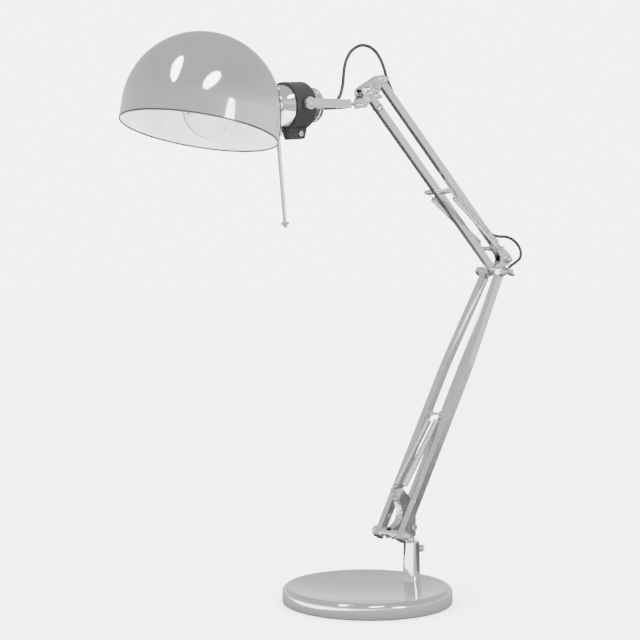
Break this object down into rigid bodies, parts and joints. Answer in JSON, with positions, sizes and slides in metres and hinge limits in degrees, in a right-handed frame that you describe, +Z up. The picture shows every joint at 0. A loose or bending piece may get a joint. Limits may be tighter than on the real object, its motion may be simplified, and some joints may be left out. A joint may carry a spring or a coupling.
{
  "type": "architect desk lamp",
  "caption": "Balanced-arm desk lamp: round dished base, swivelling two-stage parallel arm with springs, and a domed shade held in a yoke.",
  "frame": {"origin": "middle of the underside of the round base", "axes": "+Z up; the arm lies in the XZ plane with the head towards -X; every arm pivot turns about Y; -Y is the side with the wing nuts"},
  "size_m": [0.445, 0.15, 0.4889],
  "materials": {
    "chrome": "polished",
    "bracket": "polished",
    "bar": "polished",
    "fastener": "bright plated",
    "wing": "bright plated",
    "spring": "bright wire",
    "black_plastic": "matt",
    "dark_tip": "satin",
    "pad": "matt",
    "weight": "rough",
    "socket": "matt",
    "socket_ring": "gloss",
    "contact": "plain",
    "glass": "clear gloss",
    "bulb_cap": "plain",
    "lead": "satin"
  },
  "bodies": {
    "base": {"base_cover": "chrome", "base_weight": "weight", "base_pad": "pad", "post": "chrome", "post_bolt": "fastener"},
    "lock_screw": {"post_screw": "fastener"},
    "swivel": {"swivel_pin": "fastener", "base_bracket": "bracket", "bracket_rivets": "fastener", "lower_pivot_bolt": "fastener", "lower_pivot_nut": "fastener", "lower_spacers": "fastener", "link_washers_low": "fastener"},
    "lower_arm": {"rail_far": "bar", "rail_near": "bar", "rail_plugs": "black_plastic", "lower_cross_pin": "fastener", "elbow_bolt": "fastener", "lower_spring_far": "spring", "lower_spring_near": "spring"},
    "rear_link": {"rear_link": "bar", "elbow_lead": "lead"},
    "elbow": {"elbow_bracket": "bracket", "elbow_spacers": "fastener", "elbow_rear_pin": "fastener", "elbow_rear_nut": "fastener", "elbow_studs": "fastener"},
    "elbow_wing": {"elbow_wing_nut": "wing"},
    "front_bar": {"upper_front_bar": "bar", "front_bar_plug": "black_plastic", "front_bar_screw": "fastener", "upper_cross_pin": "fastener", "upper_spring_far": "spring", "upper_spring_near": "spring"},
    "rear_bar": {"upper_rear_bar": "bar", "head_lead": "lead"},
    "head_joint": {"head_bracket": "bracket", "head_bolt": "fastener", "head_washers": "fastener", "head_rear_pin": "fastener", "head_rear_nut": "fastener"},
    "head_wing": {"head_wing_nut": "wing"},
    "rod_holder": {"rod_strap": "bracket"},
    "fork": {"head_rod": "fastener", "rod_nut": "fastener", "yoke": "chrome", "yoke_screws": "fastener", "yoke_washers": "fastener"},
    "head": {"clamp_ring": "black_plastic", "clamp_screw": "fastener", "holder_sleeve": "chrome", "holder_cap": "chrome", "socket_body": "socket", "socket_contacts": "contact", "shade": "chrome", "shade_ring": "socket_ring", "handle_rod": "fastener", "handle_tip": "dark_tip"},
    "bulb": {"bulb_globe": "glass", "bulb_cap": "bulb_cap"}
  },
  "joints": [
    {"name": "lock_turn", "type": "hinge", "parent": "base", "child": "lock_screw", "pos_m": [0.0661, 0, 0.039], "axis": [1, 0, 0], "continuous": true},
    {"name": "swivel_turn", "type": "hinge", "parent": "base", "child": "swivel", "pos_m": [0.054, 0, 0.047], "axis": [0, 0, 1], "range_deg": [-170, 170]},
    {"name": "lower_arm", "type": "hinge", "parent": "swivel", "child": "lower_arm", "pos_m": [0.029, 0, 0.057], "axis": [0, 1, 0], "range_deg": [-35, 3], "deforming": ["lower_spring_far", "lower_spring_near"]},
    {"name": "elbow_level", "type": "hinge", "parent": "lower_arm", "child": "elbow", "pos_m": [0.16154, 0, 0.29223], "axis": [0, 1, 0], "range_deg": [-3.5, 35.5]},
    {"name": "link_top", "type": "hinge", "parent": "elbow", "child": "rear_link", "pos_m": [0.17704, 0, 0.30373], "axis": [0, 1, 0], "range_deg": [-35.5, 3.5], "deforming": ["elbow_lead"]},
    {"name": "elbow_wing_turn", "type": "hinge", "parent": "lower_arm", "child": "elbow_wing", "pos_m": [0.16154, -0.0155, 0.29223], "axis": [0, 1, 0], "continuous": true},
    {"name": "upper_arm", "type": "hinge", "parent": "elbow", "child": "front_bar", "pos_m": [0.16154, 0, 0.29223], "axis": [0, 1, 0], "range_deg": [-30, 30], "deforming": ["upper_spring_far", "upper_spring_near"]},
    {"name": "rear_bar_foot", "type": "hinge", "parent": "elbow", "child": "rear_bar", "pos_m": [0.17704, 0, 0.30373], "axis": [0, 1, 0], "range_deg": [-30.5, 30.5], "deforming": ["head_lead", "elbow_lead"]},
    {"name": "head_level", "type": "hinge", "parent": "rear_bar", "child": "head_joint", "pos_m": [0.01438, 0, 0.45918], "axis": [0, 1, 0], "range_deg": [-30.5, 30.5], "deforming": ["head_lead"]},
    {"name": "head_wing_turn", "type": "hinge", "parent": "head_joint", "child": "head_wing", "pos_m": [-0.00112, -0.0086, 0.44768], "axis": [0, 1, 0], "continuous": true},
    {"name": "head_tilt", "type": "hinge", "parent": "head_joint", "child": "rod_holder", "pos_m": [-0.00112, 0, 0.44768], "axis": [0, 1, 0], "range_deg": [-45, 35], "deforming": ["head_lead"]},
    {"name": "fork_roll", "type": "hinge", "parent": "rod_holder", "child": "fork", "pos_m": [-0.01778, 0, 0.43587], "axis": [0.9945, 0, 0.1045], "range_deg": [-75, 75], "deforming": ["head_lead"]},
    {"name": "shade_tilt", "type": "hinge", "parent": "fork", "child": "head", "pos_m": [-0.08541, 0, 0.42876], "axis": [0, 1, 0], "range_deg": [-60, 60], "deforming": ["head_lead"]},
    {"name": "bulb_turn", "type": "hinge", "parent": "head", "child": "bulb", "pos_m": [-0.14508, 0, 0.42249], "axis": [0.9945, 0, 0.1045], "continuous": true}
  ],
  "couplings": [
    {"joint": "elbow_level", "follows": "lower_arm", "ratio": -1},
    {"joint": "link_top", "follows": "lower_arm", "ratio": 1},
    {"joint": "rear_bar_foot", "follows": "upper_arm", "ratio": 1},
    {"joint": "head_level", "follows": "upper_arm", "ratio": -1}
  ]
}
